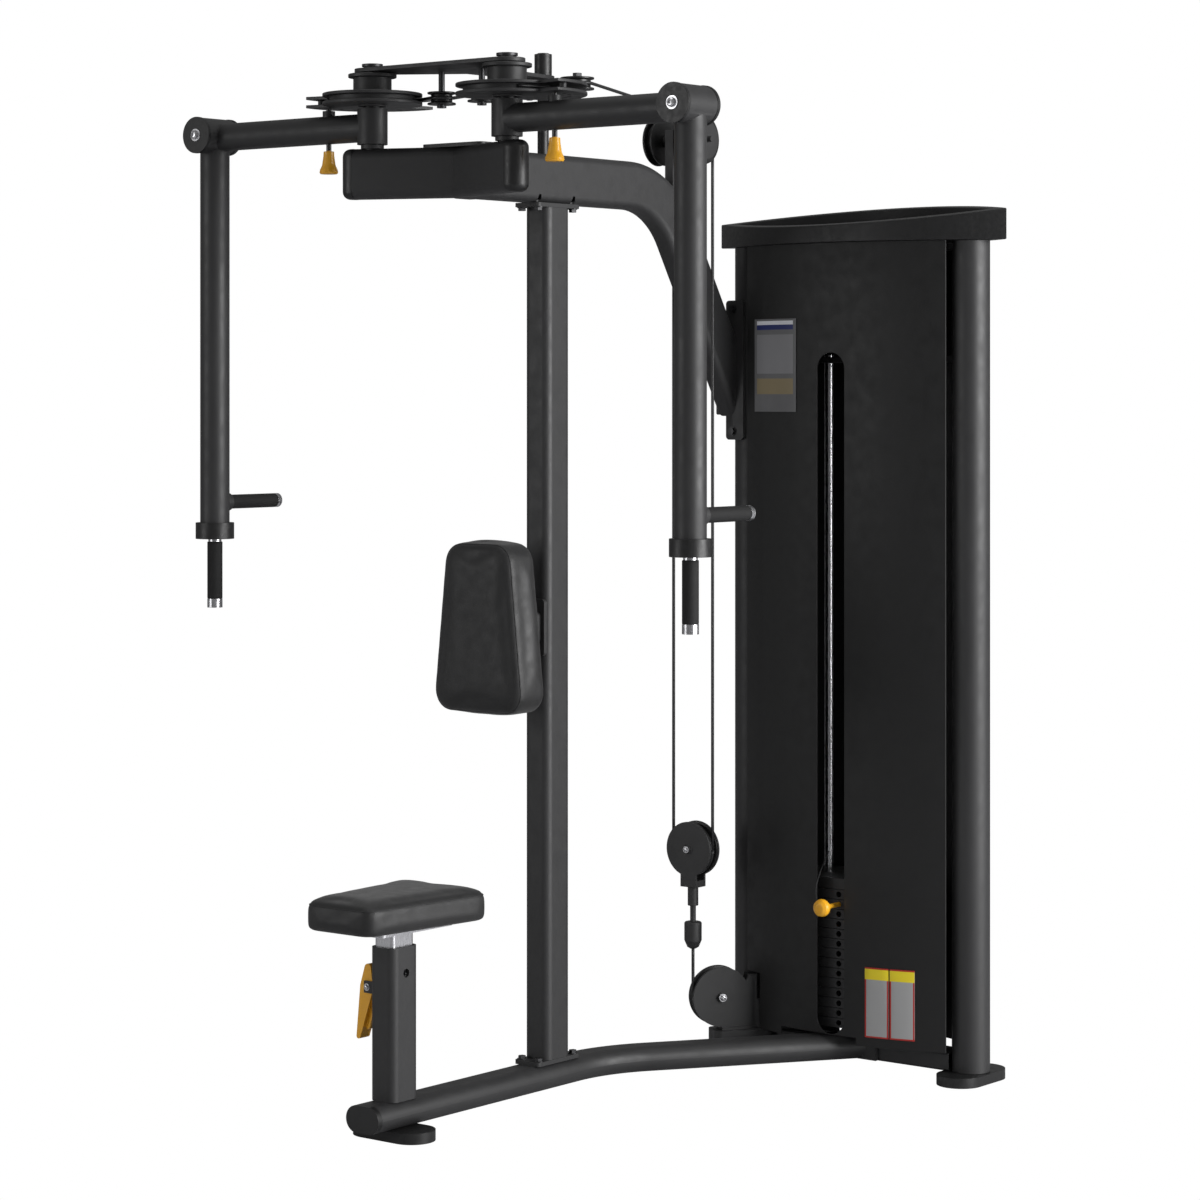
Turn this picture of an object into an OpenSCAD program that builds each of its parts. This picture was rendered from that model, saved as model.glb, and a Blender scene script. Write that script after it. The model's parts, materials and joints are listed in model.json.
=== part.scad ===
// Pec fly and rear delt machine with a shrouded weight stack.
// Frame: origin on the floor under the seat post, +X to the user's left-hand tower side,
// +Y from the seat towards the tower, +Z up. Millimetres.

/* [Frame] */
// Height of the top of the main column
column_top = 1728; // [1700:1:1740]
// Distance from the seat post to the main column
column_y = 445; // [430:1:460]
// Width of the main column and seat post tubes
post_w = 60; // [50:1:64]
// Depth of the main column and seat post tubes
post_d = 75; // [66:1:80]
// Height of the flat-oval base beam
beam_h = 50; // [46:1:54]
// Width of the flat-oval base beam
beam_w = 80; // [70:1:84]
// Height of the overhead spine tube
spine_h = 96; // [90:1:98]
// Width of the overhead spine tube
spine_w = 50; // [44:1:54]

/* [Arms] */
// Half the distance between the two arm pivots
pivot_x = 167; // [160:1:176]
// Distance of the arm pivots behind the seat post
pivot_y = 124; // [118:1:130]
// Reach of each arm, from its pivot to its upright tube
arm_reach = 421; // [380:1:440]
// Outside diameter of the arm tubes
arm_d = 54; // [50:1:56]
// Height of the lower end of the upright tubes
upright_foot = 1080; // [1040:1:1120]

/* [Cams and cable] */
// Radius of the cable on the cam drum
cam_cable_r = 85; // [80:1:86]
// Radius of the start-position sector plate
sector_r = 148; // [140:1:150]
// Radius of the ring of start-position holes
hole_ring_r = 113; // [110:1:116]
// Angle between two start positions
hole_step = 15; // [15:15:15]
// Number of start positions
hole_count = 6; // [4:1:6]
// Diameter of the steel cable
cable_d = 6.5; // [5:0.5:7]

/* [Tower] */
// Centre of the tower to the right of the seat line
tower_x = 302.5; // [298:0.5:306]
// Centre of the tower behind the seat post
tower_y = 1080; // [1078:1:1082]
// Distance between the two tower posts
post_span = 533; // [525:1:545]
// Diameter of the tower posts
tower_post_d = 76; // [70:1:78]
// Top of the tower posts, under the cap
tower_top = 1672; // [1660:1:1700]

/* [Weight stack] */
// Number of weight plates under the head plate
plate_count = 14; // [12:1:15]
// Number of plates lifted with the selector pin where it stands
lifted_count = 2; // [1:1:4]
// Thickness of one weight plate
plate_t = 19; // [18:0.5:19]
// Width of a weight plate
plate_w = 280; // [240:1:300]
// Depth of a weight plate
plate_d = 150; // [140:1:150]

/* [Seat and pads] */
// Height of the underside of the seat cushion at its lowest setting
seat_z = 391; // [385:1:396]
// Thickness of the seat cushion
seat_t = 61; // [56:1:66]
// Height of the lower edge of the back pad
pad_z = 755; // [740:1:780]
// Height of the back pad
pad_h = 335; // [300:1:340]
// Thickness of the back pad
pad_t = 85; // [74:1:90]

/* [Hidden] */
$fn = 64;
frame_c = [0.20, 0.20, 0.21];
dark_c = [0.08, 0.08, 0.085];
gold_c = [0.86, 0.62, 0.16];
steel_c = [0.78, 0.78, 0.80];
rubber_c = [0.05, 0.05, 0.05];
pad_c = [0.10, 0.10, 0.105];
wall = 3;
gap = 0.5;
run = 0.05;
cable_r = cable_d / 2;

// Base
foot_t = 20;
beam_front = 76;
beam_z = foot_t + beam_h / 2;
beam_top = foot_t + beam_h;
bend_y = 517;
bend_r = 300;
bend_a = 35;
rail_h = 36;
rail_z = foot_t;
rail_d = 70;
rail_front = tower_y - rail_d / 2;
beam_end_y = rail_front - 8;
straight_len = (beam_end_y - bend_y - bend_r * sin(bend_a)) / cos(bend_a);

// Overhead spine
spine_z = column_top + 8 + spine_h / 2;
spine_r = 200;
spine_bend_y = 690;
spine_bend_a = 58;
yoke_y = 190;
yoke_end = [197.5, 111];
yoke_w = 50;
tower_plate_y = tower_y - tower_post_d / 2 - 8;
tower_plate = [21, 1416];
tower_bolt = [16, 127];

// Arm pivots, bottom to top
axle_r = 15;
yoke_top = spine_z + spine_h / 2;
arm_z = yoke_top + 41;
hub_z = [arm_z - 33, arm_z + 35];
cam_z = hub_z[1] + 7;
sector_t = 6;
cam_gap = 10;
cam_top = cam_z + 2 * sector_t + cam_gap;
cable_z = cam_z + sector_t + cam_gap / 2;
hub_top = cam_top + 31;
tie_z = hub_top + 8;
tie_t = 8;
pin_r = 5;
pin_gap = 1.5;

// Guide pulleys
inner_pulley = [50, 190];
inner_r = 24;
rear_pulley = [60, 463];
rear_r = 30;
rear_cable_z = 1968;
post_xy = [0, 432];
drop_x = 50;
drop_y = 918;
top_r = 42;
top_pulley_y = drop_y - top_r;
top_pulley_z = 1885;

// Trolley, low pulley and tower cable
trolley_z = 431;
ferrule_top = 281;
low_r = 57;
low_z = 125;
low_dir = 35;
low_xy = [low_r * sin(low_dir), drop_y + low_r * cos(low_dir)];
base_r = 36;
run_len = (tower_y - drop_y) / cos(low_dir);
base_xy = [(run_len - base_r) * sin(low_dir), drop_y + (run_len - base_r) * cos(low_dir)];
base_z = low_z - low_r + base_r;
run_x = run_len * sin(low_dir);
tower_pulley_r = (tower_x - run_x) / 2;
tower_pulley_x = run_x + tower_pulley_r;
tower_pulley_z = 1550;
cable_gap = 0.4;

// Stack
stack_z = 85;
plate_pitch = 20;
head_z = stack_z + plate_count * plate_pitch;
head_t = 22;
rod_r = 12;
guide_x = 75;
guide_r = 9.5;
pin_plate = plate_count - lifted_count;
pin_z = stack_z + pin_plate * plate_pitch + plate_t / 2;
shroud_z = 60;
shroud_t = 3;
shroud_half = 242;
shroud_front = tower_y - 105;
shroud_edge = tower_y - 55;
sagitta = shroud_edge - shroud_front;
shroud_r = (shroud_half * shroud_half + sagitta * sagitta) / (2 * sagitta);
slot_w = 66;
slot_z = [77, 1450];
rod_bar_z = 1430;

// Seat
sleeve_top = 352;
slider_w = 46;
slider_d = 61;
pad_back_y = 309;
lever_z = 272;
lever_x = -post_w / 2 - 21;
lock_z = 304;

// ---- Shared shapes ----

// Rectangle with round corners, centred
module rrect(w, d, r) {
    square([w - 2 * r, d], center = true);
    square([w, d - 2 * r], center = true);
    for (sx = [-1, 1], sy = [-1, 1])
        translate([sx * (w / 2 - r), sy * (d / 2 - r)]) circle(r);
}

// Rounded rectangular ring, the section of a tube
module tube2d(w, d, r, t = wall) {
    difference() {
        rrect(w, d, r);
        rrect(w - 2 * t, d - 2 * t, r - t);
    }
}

// Flat slot shape of overall length len and width w along X, centred
module stadium(len, w) {
    square([len - w, w], center = true);
    for (s = [-1, 1]) translate([s * (len - w) / 2, 0]) circle(w / 2);
}

// Rod between two points
module rod(a, b, r) {
    v = b - a;
    len = norm(v);
    translate(a) rotate([0, acos(v[2] / len), atan2(v[1], v[0])]) cylinder(r = r, h = len);
}

// Tube along Z
module pipe(r, h, t = wall) {
    difference() {
        cylinder(r = r, h = h);
        translate([0, 0, -1]) cylinder(r = r - t, h = h + 2);
    }
}

// Hexagon head with a washer, seated on z = 0, and a shank below it
module bolt(r, shank = 0) {
    cylinder(r = 1.9 * r, h = 1.5);
    translate([0, 0, 1.5]) cylinder(r = 1.55 * r, h = 1.1 * r, $fn = 6);
    if (shank > 0) translate([0, 0, -shank]) cylinder(r = r, h = shank + 0.1);
}

// Grooved wheel on the Z axis: groove holds a cable whose centre runs at radius cable_at
module pulley(cable_at, rim, h, bore) {
    core = cable_at - cable_r - 0.4;
    flange = 3.5;
    rotate_extrude() difference() {
        polygon([[bore, -h / 2], [rim, -h / 2], [rim, flange - h / 2], [core, flange + 1.5 - h / 2],
            [core, h / 2 - flange - 1.5], [rim, h / 2 - flange], [rim, h / 2], [bore, h / 2]]);
    }
}

// Left-hand copy of a right-hand part
module mirrored() {
    mirror([1, 0, 0]) children();
}

// ---- Base ----

module base_beam() color(frame_c) {
    difference() {
        union() {
            translate([0, bend_y, beam_z]) rotate([90, 0, 0])
                linear_extrude(bend_y + beam_front) tube2d(beam_w, beam_h, beam_h / 2 - 0.01);
            translate([bend_r, bend_y, beam_z]) mirror([1, 0, 0])
                rotate_extrude(angle = bend_a) translate([bend_r, 0])
                    tube2d(beam_w, beam_h, beam_h / 2 - 0.01);
            translate([bend_r * (1 - cos(bend_a)), bend_y + bend_r * sin(bend_a), beam_z])
                rotate([0, 0, -bend_a]) rotate([-90, 0, 0])
                    linear_extrude(straight_len + 60) tube2d(beam_w, beam_h, beam_h / 2 - 0.01);
        }
        translate([0, beam_end_y, 0]) cube([800, 400, 200]);
    }
    translate([tower_x - 68, beam_end_y, foot_t + 1]) cube([136, 8 - gap, beam_h - 2]);
}

module feet() color(dark_c) {
    linear_extrude(foot_t - gap / 5) stadium(175, 86);
    translate([0, -beam_front - gap / 5, beam_z]) rotate([90, 0, 0]) linear_extrude(11)
        stadium(beam_w, beam_h);
    for (s = [-1, 1]) translate([tower_x + s * post_span / 2, tower_y, 0])
        linear_extrude(foot_t - gap / 5) rotate(90) stadium(176, 92);
}

module seat_post_tube() color(frame_c) {
    difference() {
        translate([0, 0, beam_top]) linear_extrude(sleeve_top - beam_top) tube2d(post_w, post_d, 17, 5);
        translate([0, 0, lock_z]) rotate([0, 90, 0]) cylinder(r = 8, h = post_w);
    }
    for (s = [-1, 1]) translate([lever_x - 8, s * 16 - 2, lever_z - 11]) cube([30, 4, 22]);
    translate([lever_x, -20, lever_z]) rotate([-90, 0, 0]) cylinder(r = 4, h = 40);
}

module column_holes(z) {
    for (sx = [-1, 1], sy = [-1, 1])
        translate([sx * 21, column_y + sy * 52, z]) cylinder(r = 5.2, h = 40, center = true);
}

module main_column() color(frame_c) {
    difference() {
        union() {
            translate([0, column_y, beam_top]) linear_extrude(8) rrect(62, 130, 8);
            translate([0, column_y, column_top]) linear_extrude(8) rrect(62, 130, 8);
        }
        column_holes(beam_top);
        column_holes(column_top);
    }
    translate([0, column_y, beam_top + 8]) linear_extrude(column_top - beam_top - 8)
        tube2d(post_w, post_d, 17);
}

// ---- Overhead frame ----

module spine_section() {
    tube2d(spine_h, spine_w, 16);
}

// Local frame of the spine bend: X is up, Y runs back, Z is across
module spine_frame() {
    translate([0, spine_bend_y, spine_z - spine_r]) rotate([0, -90, 0]) children();
}

module overhead_spine() color(frame_c) {
    difference() {
        union() {
            translate([0, spine_bend_y, spine_z]) rotate([90, 0, 0])
                linear_extrude(spine_bend_y - yoke_y - 40) rotate(90) spine_section();
            spine_frame() rotate_extrude(angle = spine_bend_a) translate([spine_r, 0]) spine_section();
            spine_frame() rotate([0, 0, spine_bend_a]) translate([spine_r, 0, 0]) rotate([-90, 0, 0])
                linear_extrude(520) spine_section();
        }
        translate([-100, tower_plate_y, 0]) cube([200, 400, 1800]);
        for (sx = [-1, 1], sy = [-1, 1]) translate([sx * 21, column_y + sy * 52, column_top])
            cylinder(r = 5.2, h = 24);
    }
    translate([tower_plate[0], tower_plate_y + 8 - gap, tower_plate[1]]) rotate([90, 0, 0])
        linear_extrude(8 - gap) difference() {
            union() {
                rrect(44, 290, 8);
                translate([-24, 0]) rrect(46, 186, 4);
            }
            for (s = [-1, 1]) translate([tower_bolt[0] - tower_plate[0], s * tower_bolt[1]]) circle(5.2);
        }
}

// Half of the yoke: an upright flat-oval tube from the spine to one pivot
module yoke_wing() {
    dx = yoke_end[0];
    dy = yoke_end[1] - yoke_y;
    a = atan2(dy, dx);
    translate([0, yoke_y, spine_z]) rotate([0, 0, a]) rotate([90, 0, 90])
        linear_extrude(norm([dx, dy])) rrect(yoke_w, spine_h, 20);
}

module pivot_yoke() color(frame_c) difference() {
    union() {
        yoke_wing();
        mirror([1, 0, 0]) yoke_wing();
        translate([0, yoke_y + 20, spine_z]) rotate([90, 0, 0])
            linear_extrude(39, center = true) rrect(spine_w + 6, spine_h + 2, 14);
        translate([0, yoke_y - 4, yoke_top - 1]) linear_extrude(7) rrect(150, 56, 12);
    }
    for (s = [-1, 1]) translate([s * pivot_x, pivot_y, yoke_top - 60]) cylinder(r = axle_r, h = 80);
}

module yoke_cap() {
    a = atan2(yoke_end[1] - yoke_y, yoke_end[0]);
    translate([yoke_end[0], yoke_end[1], spine_z]) rotate([0, 0, a - 90]) translate([0, gap / 4, 0])
        rotate_extrude(angle = 180) intersection() {
            rrect(yoke_w, spine_h, 15);
            translate([0, -spine_h / 2]) square([yoke_w, spine_h]);
        }
}

module yoke_end_caps() color(dark_c) {
    yoke_cap();
    mirrored() yoke_cap();
}

module pivot_axles() color(steel_c) for (s = [-1, 1]) translate([s * pivot_x, pivot_y, 0]) {
    translate([0, 0, yoke_top - 60]) cylinder(r = axle_r - 0.02, h = tie_z + tie_t + 4 - yoke_top + 60);
    translate([0, 0, yoke_top]) cylinder(r = 22, h = hub_z[0] - yoke_top - gap);
}

module tie_outline() {
    hull() {
        for (s = [-1, 1]) translate([s * pivot_x, pivot_y]) circle(34, $fn = 32);
        translate([0, pivot_y + 100]) circle(40, $fn = 32);
    }
    hull() {
        translate([0, pivot_y + 100]) circle(40, $fn = 32);
        translate(post_xy) circle(22, $fn = 32);
    }
}

module tie_plate() color(frame_c) difference() {
    translate([0, 0, tie_z]) linear_extrude(tie_t) tie_outline();
    for (s = [-1, 1]) translate([s * pivot_x, pivot_y, tie_z - 1]) cylinder(r = axle_r, h = 20);
    for (s = [-1, 1]) translate([s * inner_pulley[0], inner_pulley[1], tie_z - 1]) cylinder(r = 6, h = 20);
    translate([post_xy[0], post_xy[1], tie_z - 1]) cylinder(r = 11, h = 20);
}

module centre_post() color(dark_c) {
    translate([post_xy[0], post_xy[1], yoke_top]) cylinder(r = 11 - 0.02, h = 2028 - yoke_top);
    translate([post_xy[0], post_xy[1], tie_z + tie_t]) cylinder(r = 17, h = 2026 - tie_z - tie_t);
    translate([0, 0, rear_cable_z - 24]) linear_extrude(6) difference() {
        hull() {
            translate(post_xy) circle(20, $fn = 32);
            for (s = [-1, 1]) translate([s * rear_pulley[0], rear_pulley[1]]) circle(16, $fn = 32);
        }
        for (s = [-1, 1]) translate([s * rear_pulley[0], rear_pulley[1]]) circle(6);
    }
}

// ---- Tower ----

module tower_posts() color(frame_c) for (s = [-1, 1])
    translate([tower_x + s * post_span / 2, tower_y, foot_t]) pipe(tower_post_d / 2, tower_top - foot_t);

module tower_base_rail() color(frame_c) translate([tower_x, tower_y, rail_z + rail_h / 2])
    difference() {
        rotate([90, 0, 90]) linear_extrude(post_span - tower_post_d + 14, center = true)
            tube2d(rail_d, rail_h, 5);
        for (s = [-1, 1]) translate([s * post_span / 2, 0, 0])
            cylinder(r = tower_post_d / 2 + 0.1, h = 80, center = true);
    }

// Bars across the inside of the tower: the top frame and the bar that holds the guide rods
module tower_top_rails() color(frame_c) difference() {
    union() {
        translate([tower_x, tower_y, tower_top - 12])
            cube([post_span - 20, 60, 12], center = true);
        translate([tower_x, tower_y, rod_bar_z + 6]) cube([post_span - 20, 50, 12], center = true);
        for (s = [-1, 1]) translate([tower_pulley_x - 30, tower_y + s * 17 - 3, tower_pulley_z - 30])
            cube([60, 6, tower_top - 18 - tower_pulley_z + 30]);
        translate([tower_pulley_x, tower_y + 20, tower_pulley_z]) rotate([90, 0, 0])
            cylinder(r = 6, h = 40);
    }
    for (s = [-1, 1]) {
        translate([tower_x + s * post_span / 2, tower_y, rod_bar_z - 20])
            cylinder(r = tower_post_d / 2 + 0.1, h = 300);
        translate([tower_x + s * guide_x, tower_y, rod_bar_z - 1]) cylinder(r = guide_r, h = 20);
    }
    for (x = [run_x, tower_x]) translate([x, tower_y, rod_bar_z - 1]) cylinder(r = 9, h = 20);
}

// One curved shroud sheet about the tower centre, bulging towards -Y
module shroud_sheet(z0, z1) {
    cy = shroud_front - tower_y + shroud_r;
    intersection() {
        translate([0, cy, z0]) difference() {
            cylinder(r = shroud_r, h = z1 - z0, $fn = 180);
            translate([0, 0, -1]) cylinder(r = shroud_r - shroud_t, h = z1 - z0 + 2, $fn = 180);
        }
        translate([-shroud_half, shroud_front - tower_y - 5, z0])
            cube([2 * shroud_half, sagitta + 8, z1 - z0]);
    }
}

module front_shroud() color(dark_c) difference() {
    translate([tower_x, tower_y, 0]) shroud_sheet(shroud_z, tower_top - gap);
    translate([tower_x, shroud_front + 20, 0]) rotate([90, 0, 0])
        linear_extrude(80, center = true) translate([0, (slot_z[0] + slot_z[1]) / 2])
            rotate(90) stadium(slot_z[1] - slot_z[0], slot_w);
    translate([tower_x - 130, shroud_front - 20, 0]) cube([190, 60, beam_top + 6]);
    translate([0, tower_y - 130, 0]) cube([104, 120, low_z + 48]);
}

module rear_shroud() color(dark_c) translate([tower_x, tower_y, 0]) rotate([0, 0, 180])
    shroud_sheet(shroud_z, tower_top - gap);

module cap_outline(inset = 0) {
    cy = shroud_front - tower_y + shroud_r;
    hull() {
        intersection() {
            translate([0, cy]) circle(shroud_r + 4 - inset, $fn = 120);
            translate([0, -cy]) circle(shroud_r + 4 - inset, $fn = 120);
        }
        for (s = [-1, 1]) translate([s * post_span / 2, 0]) circle(tower_post_d / 2 + 3 - inset, $fn = 32);
    }
}

module tower_cap() color(dark_c) translate([tower_x, tower_y, tower_top]) difference() {
    linear_extrude(84) cap_outline();
    translate([0, 0, 15]) linear_extrude(100) cap_outline(20);
    translate([0, -109, 35]) rotate([11, -1, 0]) translate([-400, -50, 0]) cube([800, 400, 160]);
}

module guide_rods() color(steel_c) for (s = [-1, 1])
    translate([tower_x + s * guide_x, tower_y, rail_z + rail_h])
        cylinder(r = guide_r - 0.02, h = rod_bar_z + 16 - rail_z - rail_h);

module stack_cushions() color(rubber_c) for (s = [-1, 1])
    translate([tower_x + s * guide_x, tower_y, rail_z + rail_h]) difference() {
        cylinder(r = 22, h = stack_z - rail_z - rail_h - 0.1);
        translate([0, 0, -1]) cylinder(r = guide_r + 0.3, h = 80);
    }

// One weight plate with its guide and rod holes, bottom on z = 0
module weight_plate(t = plate_t) {
    difference() {
        linear_extrude(t) difference() {
            rrect(plate_w, plate_d, 6);
            circle(rod_r + 1.5);
            for (s = [-1, 1]) translate([s * guide_x, 0]) circle(guide_r + 1);
        }
        translate([0, 0, t / 2]) rotate([90, 0, 0]) cylinder(r = 6, h = plate_d);
    }
}

module lower_plates() color([0.16, 0.16, 0.165]) for (i = [0 : pin_plate - 1])
    translate([tower_x, tower_y, stack_z + i * plate_pitch]) weight_plate();

module lifted_plates() color([0.16, 0.16, 0.165]) for (i = [pin_plate : plate_count - 1])
    translate([tower_x, tower_y, stack_z + i * plate_pitch]) weight_plate();

module head_plate() color([0.20, 0.20, 0.21]) translate([tower_x, tower_y, head_z]) {
    linear_extrude(head_t) difference() {
        rrect(plate_w, plate_d, 6);
        circle(rod_r);
        for (s = [-1, 1]) translate([s * guide_x, 0]) circle(guide_r + 0.5);
    }
}

module selector_rod() color(steel_c) translate([tower_x, tower_y, 0]) {
    difference() {
        translate([0, 0, stack_z + 2]) cylinder(r = rod_r - 0.02, h = head_z + head_t - stack_z - 2);
        for (i = [0 : plate_count - 1]) translate([0, 0, stack_z + i * plate_pitch + plate_t / 2])
            rotate([90, 0, 0]) cylinder(r = 5.2, h = 60, center = true);
    }
    translate([0, 0, head_z + head_t]) cylinder(r = 15, h = 12);
    translate([0, 0, head_z + head_t + 11]) cylinder(r = 9, h = 26);
}

module selector_pin() color(gold_c) translate([tower_x, tower_y, pin_z]) rotate([90, 0, 0]) {
    translate([0, 0, -11]) cylinder(r = 4.8, h = plate_d / 2 + 53);
    translate([0, 0, plate_d / 2 + 40]) cylinder(r = 8, h = 16);
    translate([0, 0, plate_d / 2 + 50]) rotate_extrude()
        polygon([[0, 0], [12, 0], [17, 5], [18, 10], [16, 17], [10, 21], [0, 22]]);
}

// ---- Seat and pads ----

module seat_slider() color(steel_c) {
    difference() {
        translate([0, 0, beam_top + 40]) linear_extrude(seat_z - 8 - beam_top - 40)
            tube2d(slider_w, slider_d, 8, 3);
        for (i = [0 : 4]) translate([0, 0, lock_z - 30 * i]) rotate([0, 90, 0]) cylinder(r = 6.5, h = 60);
    }
    translate([0, 0, seat_z - 8]) linear_extrude(8 - gap) rrect(120, 200, 12);
}

// Trapezoid with round corners: half widths a at low y and b at high y
module trapezoid(a, b, y0, y1, r) {
    hull() for (s = [-1, 1]) {
        translate([s * (a - r), y0 + r]) circle(r, $fn = 32);
        translate([s * (b - r), y1 - r]) circle(r, $fn = 32);
    }
}

module seat_pad() color(pad_c) translate([0, 0, seat_z])
    linear_extrude(seat_t) trapezoid(85, 115, -165, 155, 30);

module seat_lever() color(gold_c) translate([lever_x, 0, lever_z]) rotate([90, 0, 0])
    difference() {
        union() {
            linear_extrude(26, center = true) {
                hull() {
                    translate([-3, 34]) circle(8, $fn = 32);
                    translate([-6, -2]) circle(16, $fn = 32);
                }
                hull() {
                    translate([-6, -2]) circle(16, $fn = 32);
                    translate([-26, -94]) circle(5, $fn = 32);
                }
            }
            linear_extrude(10, center = true) hull() {
                translate([2, -16]) circle(10, $fn = 32);
                translate([-10, -76]) circle(5, $fn = 32);
            }
        }
        cylinder(r = 4.05, h = 40, center = true);
    }

module back_pad() color(pad_c) translate([0, pad_back_y, pad_z]) rotate([90, 0, 0])
    linear_extrude(pad_t) trapezoid(117, 82, 0, pad_h, 40);

module back_pad_bracket() color(frame_c) {
    y0 = pad_back_y + gap;
    translate([0, y0 + 12, pad_z + 160]) rotate([90, 0, 0]) linear_extrude(12) rrect(130, 240, 20);
    translate([0, y0 + 12, pad_z + 160]) rotate([-90, 0, 0])
        linear_extrude(column_y - post_d / 2 - 8 - y0 - 12) tube2d(40, 60, 8);
    translate([0, column_y - post_d / 2 - 8, pad_z + 160]) rotate([-90, 0, 0])
        linear_extrude(8) rrect(58, 110, 8);
}

// ---- Arms ----

module right_cam() color(frame_c) translate([pivot_x, pivot_y, 0]) difference() {
    union() {
        for (z = [cam_z, cam_z + sector_t + cam_gap]) translate([0, 0, z]) linear_extrude(sector_t) {
            circle(95);
            sector(sector_r, -12, 100);
        }
        translate([0, 0, cam_z - 3]) cylinder(r = 27, h = 4);
        translate([0, 0, cam_z]) cylinder(r = cam_cable_r - cable_r - 0.4, h = cam_top - cam_z);
        translate([0, 0, cam_top - 1]) cylinder(r = 36.5, h = hub_top - cam_top + 1);
        translate([0, 0, hub_top - 1]) cylinder(r = 46, h = 7);
        for (a = [0, 88]) rotate([0, 0, a]) translate([sector_r - 16, 0, cam_z])
            cylinder(r = 7, h = cam_top - cam_z);
    }
    translate([0, 0, cam_z - 6]) cylinder(r = axle_r + run, h = 90);
    for (i = [0 : hole_count - 1]) rotate([0, 0, i * hole_step])
        translate([hole_ring_r, 0, cam_z - 1]) cylinder(r = pin_r + 0.2, h = sector_t + 2);
}

// Pie slice of radius r from angle a0 to a1, with a round outer edge
module sector(r, a0, a1) {
    steps = 24;
    polygon(concat([[0, 0]],
        [for (i = [0 : steps]) let (a = a0 + (a1 - a0) * i / steps) r * [cos(a), sin(a)]]));
}

module left_cam() mirrored() right_cam();

module right_arm_frame() color(frame_c) translate([pivot_x, pivot_y, 0]) difference() {
    union() {
        translate([0, 0, hub_z[0]]) cylinder(r = 29, h = hub_z[1] - hub_z[0]);
        translate([0, 0, arm_z]) rotate([0, 90, 0]) cylinder(r = arm_d / 2, h = arm_reach);
        translate([arm_reach, 34, arm_z + 3]) rotate([90, 0, 0]) cylinder(r = 35, h = 80);
        translate([arm_reach, 0, upright_foot]) cylinder(r = 29, h = arm_z - upright_foot);
        translate([hole_ring_r, 0, arm_z]) cylinder(r = 12, h = hub_z[1] - arm_z + 1.5);
        translate([arm_reach, 0, upright_foot + 72]) rotate([-90, 0, 0]) cylinder(r = 18, h = 36);
        translate([arm_reach, 36, upright_foot + 72]) rotate([-90, 0, 0]) cylinder(r = 9, h = 138);
        translate([arm_reach, 0, upright_foot - 132]) cylinder(r = 9, h = 140);
    }
    translate([0, 0, hub_z[0] - 1]) cylinder(r = axle_r + run, h = 90);
    translate([hole_ring_r, 0, arm_z - 60]) cylinder(r = pin_r + run, h = 120);
}

module left_arm_frame() mirrored() right_arm_frame();

module right_arm_caps() color(dark_c) translate([pivot_x + arm_reach, pivot_y, 0]) {
    for (y = [34 + gap / 5, -46 - gap / 5 - 7]) translate([0, y, arm_z + 3]) rotate([-90, 0, 0])
        cylinder(r = 36, h = 7);
    translate([0, 0, upright_foot]) pipe(38, 32, 38 - 29.2);
}

module left_arm_caps() mirrored() right_arm_caps();

module right_grips() color(rubber_c) translate([pivot_x + arm_reach, pivot_y, 0]) {
    translate([0, 0, upright_foot - 118]) pipe(15, 112, 5.8);
    translate([0, 38, upright_foot + 72]) rotate([-90, 0, 0]) pipe(14, 128, 4.8);
}

module left_grips() mirrored() right_grips();

module right_grip_ends() color(steel_c) translate([pivot_x + arm_reach, pivot_y, 0]) {
    translate([0, 0, upright_foot - 136]) cylinder(r = 15, h = 4 - 0.1);
    translate([0, 0, upright_foot - 132]) pipe(15, 13.5, 5.8);
    translate([0, 0, upright_foot - 5.5]) pipe(13, 5, 3.8);
    translate([0, 36 + 131, upright_foot + 72]) rotate([-90, 0, 0]) pipe(14, 6, 4.8);
    translate([0, 174.2, upright_foot + 72]) rotate([-90, 0, 0]) cylinder(r = 14, h = 3);
}

module left_grip_ends() mirrored() right_grip_ends();

module right_pop_pin() color(gold_c) translate([pivot_x + hole_ring_r, pivot_y, 0]) {
    translate([0, 0, arm_z - 40]) cylinder(r = pin_r, h = cam_z - pin_gap - arm_z + 40);
    translate([0, 0, arm_z - arm_d / 2 - 57]) rotate_extrude()
        polygon([[0, 0], [16, 0], [18, 3], [17, 8], [13, 17], [10.5, 34], [10, 43], [0, 45]]);
}

module left_pop_pin() mirrored() right_pop_pin();

// ---- Pulleys ----

module right_inner_pulley() color(dark_c) translate([inner_pulley[0], inner_pulley[1], cable_z])
    pulley(inner_r, 27, 24, 6 + run);

module left_inner_pulley() mirrored() right_inner_pulley();

module right_rear_pulley() color(dark_c) translate([rear_pulley[0], rear_pulley[1], rear_cable_z])
    pulley(rear_r, 33, 24, 6 + run);

module left_rear_pulley() mirrored() right_rear_pulley();

module right_top_pulley() color(dark_c) translate([drop_x, top_pulley_y, top_pulley_z])
    rotate([0, 90, 0]) pulley(top_r, 50, 22, 6 + run);

module left_top_pulley() mirrored() right_top_pulley();

module trolley_wheel() color(dark_c) translate([0, drop_y, trolley_z]) rotate([90, 0, 0])
    pulley(drop_x, 55.5, 22, 6 + run);

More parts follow.
